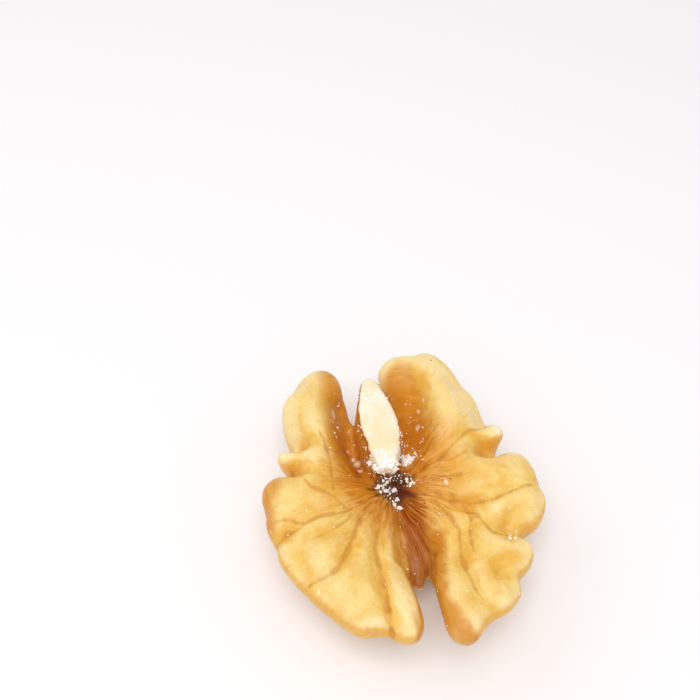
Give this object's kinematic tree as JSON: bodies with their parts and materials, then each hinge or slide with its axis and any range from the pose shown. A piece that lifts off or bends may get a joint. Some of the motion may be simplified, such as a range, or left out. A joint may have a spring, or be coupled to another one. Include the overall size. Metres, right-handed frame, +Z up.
{
  "type": "walnut kernel half",
  "caption": "Half of a walnut kernel lying on its folded, domed side, inner face up: ruffled wings round a dark hub, a broken stump between their shoulders and a slit between their tails.",
  "frame": {"origin": "on the surface the kernel lies on, under the middle of its bounding box", "axes": "+X towards the wing on the right with the stump pointing away, +Y towards the stump's free end, +Z up, out of the inner face"},
  "size_m": [0.0284, 0.0334, 0.0114],
  "materials": {
    "kernel_skin": "thin, slightly oily golden skin with a soft shine, brown in the folds near the hub, cream where the stump broke"
  },
  "bodies": {
    "root": {"kernel_half": "kernel_skin"}
  },
  "joints": []
}
